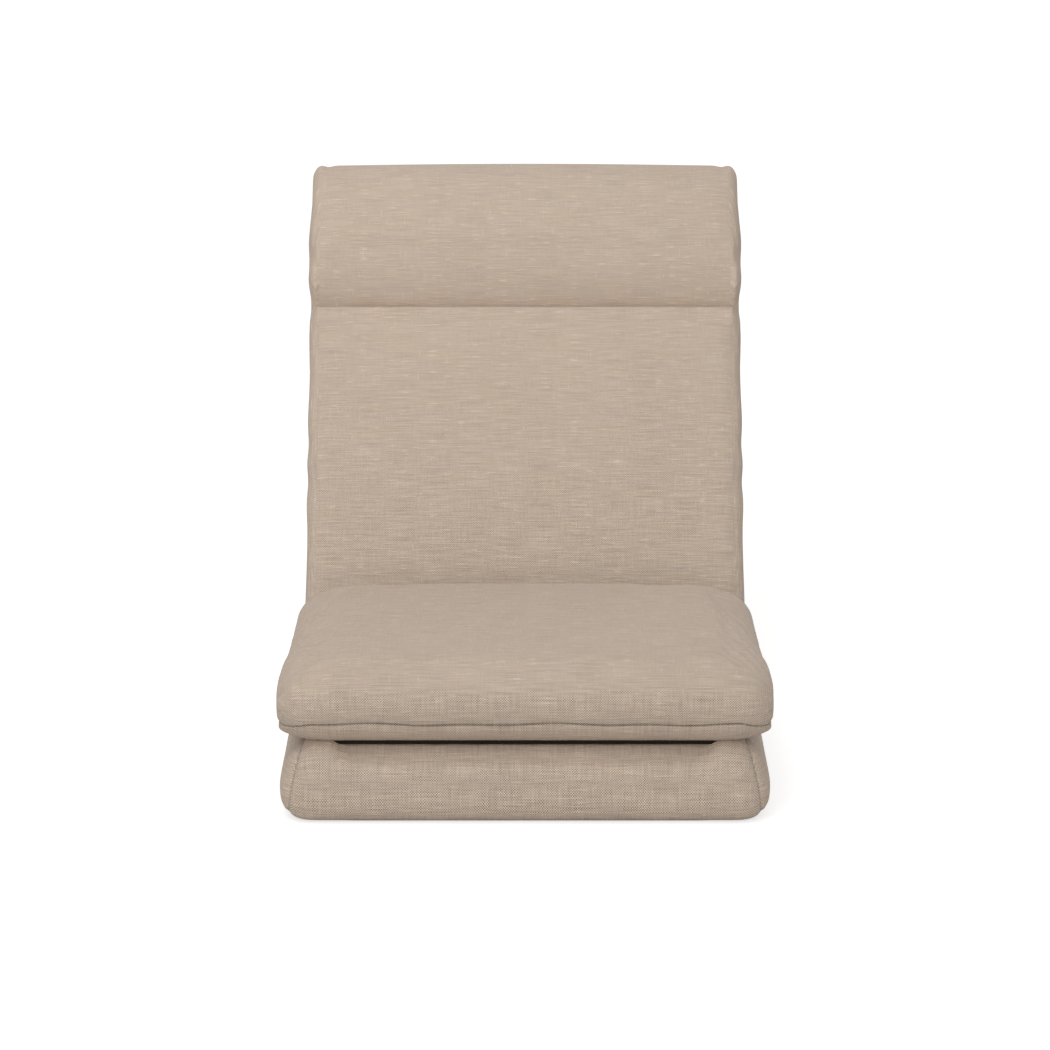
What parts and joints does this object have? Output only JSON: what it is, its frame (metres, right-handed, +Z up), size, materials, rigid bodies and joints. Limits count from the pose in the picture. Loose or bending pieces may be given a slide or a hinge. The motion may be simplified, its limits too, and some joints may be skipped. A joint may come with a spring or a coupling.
{
  "type": "folding floor chair",
  "caption": "Folding floor chair: padded base with flip-over seat cushion, and a padded reclining back with a built-in headrest.",
  "frame": {"origin": "on the floor at the middle of the chair's footprint", "axes": "+Z up, +Y towards the back of the chair, X across it; the seat front faces -Y"},
  "size_m": [0.571, 0.846, 0.6544],
  "materials": {
    "linen_cover": "matte slubbed linen weave, beige",
    "linen_gusset": "matte linen weave, beige",
    "underside_cloth": "matte black non-slip cloth",
    "foam": "open-cell foam, cream",
    "painted_tube": "black powder coat",
    "hinge_steel": "zinc plated, satin",
    "rivet_steel": "bright zinc",
    "zip_tape": "woven zip tape with coil teeth, beige",
    "zip_metal": "satin die-cast"
  },
  "bodies": {
    "base": {"base_cover": "linen_cover", "base_underside_cloth": "underside_cloth", "base_foam_lower": "foam", "base_foam_upper": "foam", "base_frame_tube": "painted_tube", "base_cross_tube_front": "painted_tube", "base_cross_tube_rear": "painted_tube", "hinge_cheek_outer_right": "hinge_steel", "hinge_cheek_outer_left": "hinge_steel", "hinge_cheek_inner_right": "hinge_steel", "hinge_cheek_inner_left": "hinge_steel", "pivot_rivets": "rivet_steel", "pawl_rivets": "rivet_steel", "base_tube_rivets": "rivet_steel", "pivot_spacers": "rivet_steel", "pawl_spacers": "rivet_steel", "pawl_spring_right": "rivet_steel", "pawl_spring_left": "rivet_steel", "hinge_gusset": "linen_gusset", "hinge_floor_pad": "underside_cloth", "flip_hinge_strip": "linen_gusset"},
    "back": {"backrest_cover": "linen_cover", "back_zip_tape": "zip_tape", "back_foam_rear": "foam", "back_foam_front": "foam", "headrest_foam": "foam", "back_frame_tube": "painted_tube", "back_cross_tube_low": "painted_tube", "back_cross_tube_mid": "painted_tube", "back_cross_tube_high": "painted_tube", "ratchet_cam_right": "hinge_steel", "ratchet_cam_left": "hinge_steel", "cam_rivets": "rivet_steel"},
    "cushion": {"cushion_cover": "linen_cover", "cushion_zip_tape": "zip_tape", "cushion_foam": "foam"},
    "pawl_right": {"pawl_right": "hinge_steel"},
    "pawl_left": {"pawl_left": "hinge_steel"},
    "back_slider": {"back_zip_slider": "zip_metal"},
    "cushion_slider": {"cushion_zip_slider": "zip_metal"}
  },
  "joints": [
    {"name": "backrest_recline", "type": "hinge", "parent": "base", "child": "back", "pos_m": [0, 0.077, 0.046], "axis": [-1, 0, 0], "range_deg": [-20.67, 62], "deforming": ["hinge_gusset"]},
    {"name": "seat_flip", "type": "hinge", "parent": "base", "child": "cushion", "pos_m": [0, -0.423, 0.09215], "axis": [1, 0, 0], "range_deg": [0, 180], "deforming": ["flip_hinge_strip"]},
    {"name": "pawl_right_engage", "type": "hinge", "parent": "base", "child": "pawl_right", "pos_m": [0.232, 0.04094, 0.05236], "axis": [1, 0, 0], "range_deg": [0, 10]},
    {"name": "pawl_left_engage", "type": "hinge", "parent": "base", "child": "pawl_left", "pos_m": [-0.232, 0.04094, 0.05236], "axis": [1, 0, 0], "range_deg": [0, 10]},
    {"name": "back_zip_slide", "type": "slide", "parent": "back", "child": "back_slider", "axis": [1, 0, 0], "range_m": [0, 0.406]},
    {"name": "cushion_zip_slide", "type": "slide", "parent": "cushion", "child": "cushion_slider", "axis": [1, 0, 0], "range_m": [0, 0.406]}
  ]
}
